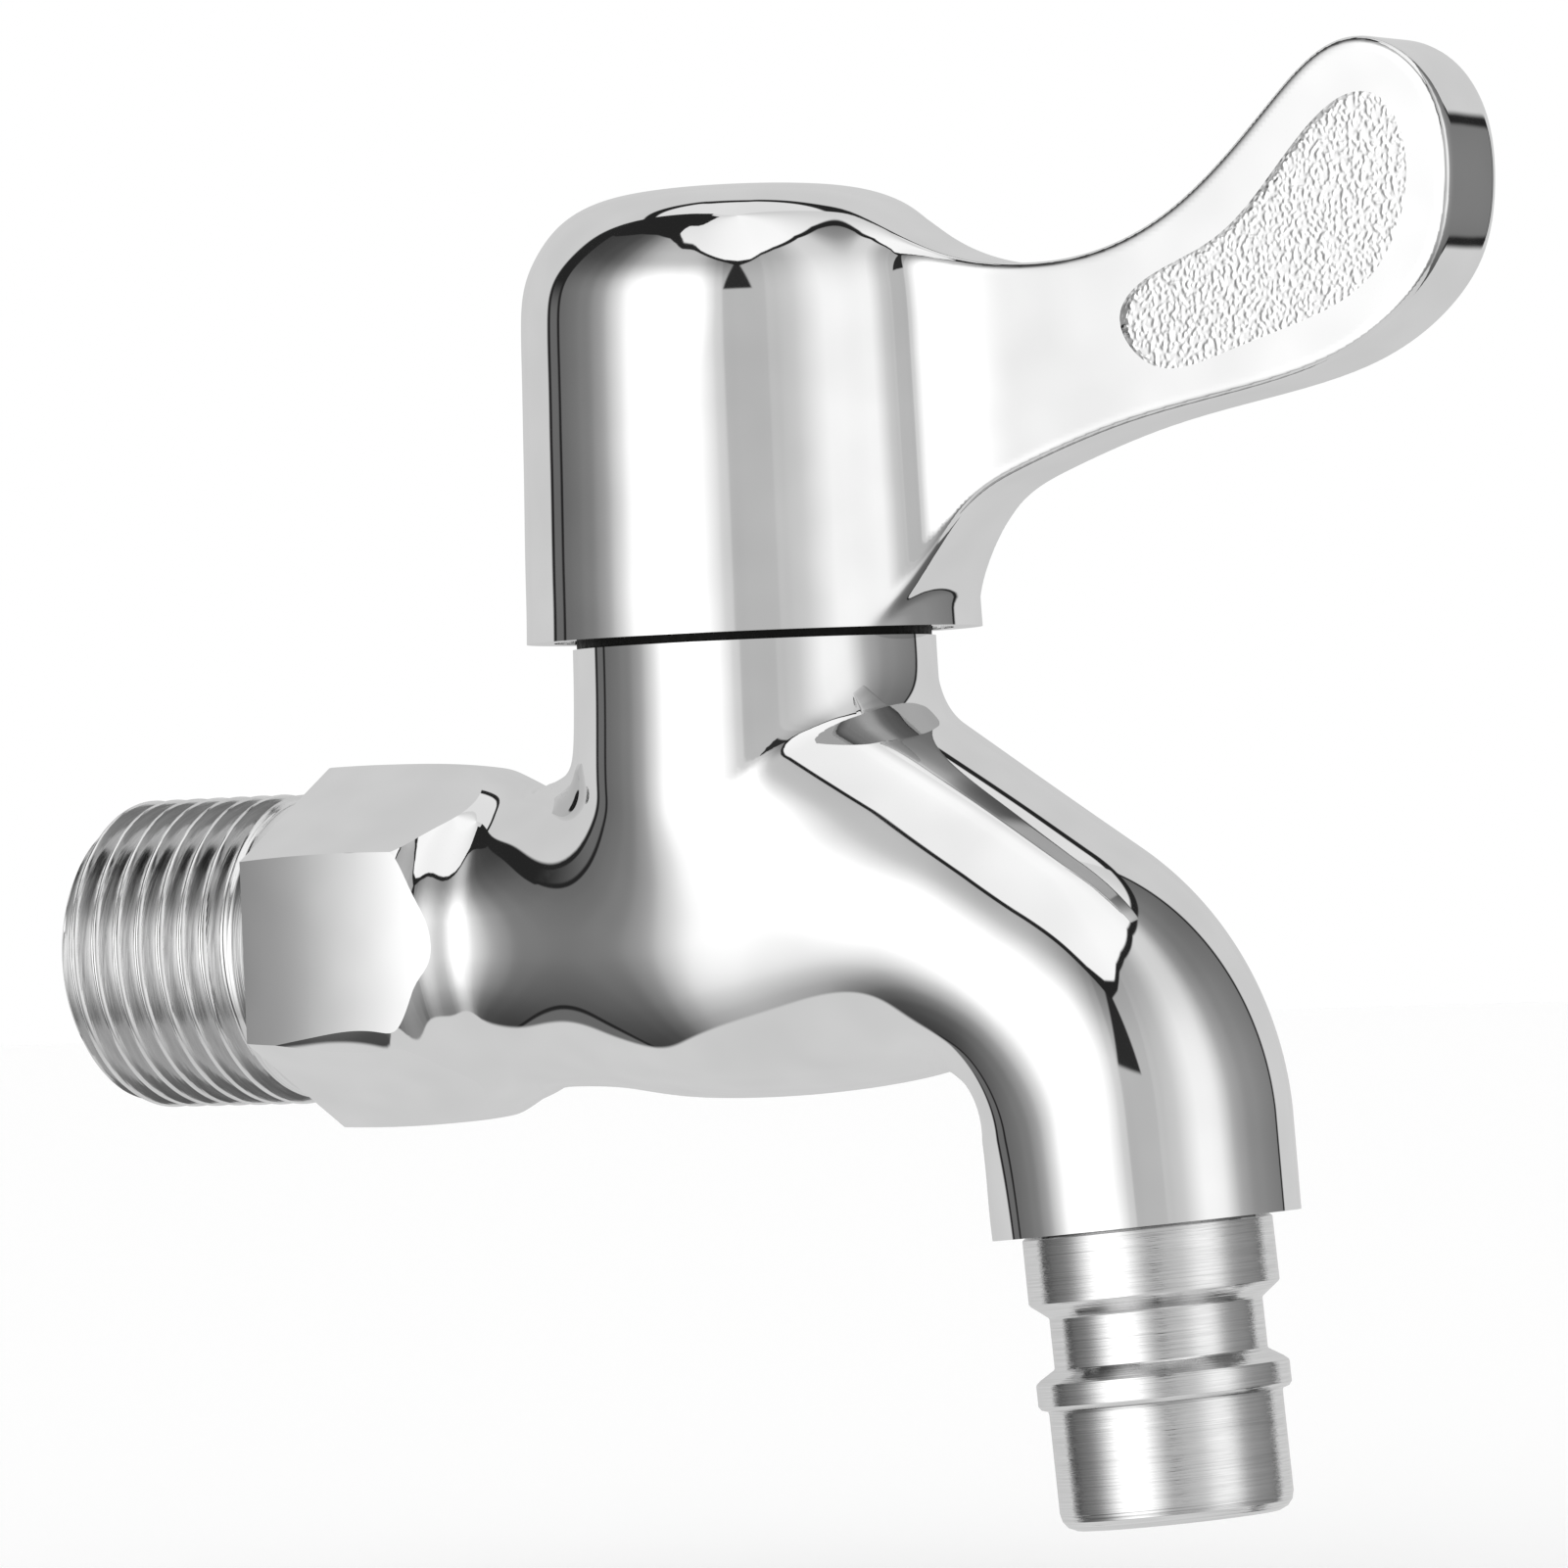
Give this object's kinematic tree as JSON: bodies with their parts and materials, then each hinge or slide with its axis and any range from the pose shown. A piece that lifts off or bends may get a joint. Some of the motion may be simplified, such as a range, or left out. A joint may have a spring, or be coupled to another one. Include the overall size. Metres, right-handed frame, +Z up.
{
  "type": "washing machine tap",
  "caption": "Chrome wall tap with a quarter-turn lever, a hexagon, a threaded inlet and a grooved push-on hose nipple for a washing machine hose.",
  "frame": {"origin": "centre of the inlet thread's end face, where the water comes in from the wall", "axes": "+X out from the wall along the inlet thread, +Z up along the spindle, Y=0 is the tap's symmetry plane; the lever is closed"},
  "size_m": [0.1059, 0.0296, 0.0929],
  "materials": {
    "body_chrome": "polished chrome plate over cast brass",
    "nipple_chrome": "chrome plate over turned brass, fine turning marks",
    "handle_chrome": "bright chrome plate over zinc casting",
    "cover_chrome": "bright chrome plate over moulded plastic",
    "cartridge_brass": "turned brass, bare",
    "spindle_brass": "turned brass, bare",
    "seal_rubber": "matt black nitrile rubber",
    "disc_ceramic": "lapped white alumina ceramic",
    "bush_plastic": "moulded off-white acetal",
    "steel_fixings": "bright zinc-plated and stainless steel"
  },
  "bodies": {
    "tap": {"tap_body": "body_chrome", "outlet_nipple": "nipple_chrome", "nipple_washer": "seal_rubber", "cartridge_housing": "cartridge_brass", "cartridge_gasket": "seal_rubber", "seat_seal": "seal_rubber", "fixed_disc": "disc_ceramic"},
    "handle": {"lever_handle": "handle_chrome", "spline_bush": "bush_plastic", "spring_washer": "steel_fixings", "handle_screw": "steel_fixings", "screw_cover": "cover_chrome", "spindle": "spindle_brass", "moving_disc": "disc_ceramic", "spindle_ring_lower": "seal_rubber", "spindle_ring_upper": "seal_rubber", "thrust_washer": "bush_plastic", "circlip": "steel_fixings"}
  },
  "joints": [
    {"name": "handle_turn", "type": "hinge", "parent": "tap", "child": "handle", "pos_m": [0.05104, 0, 0.0194], "axis": [0, 0, 1], "range_deg": [0, 90]}
  ]
}
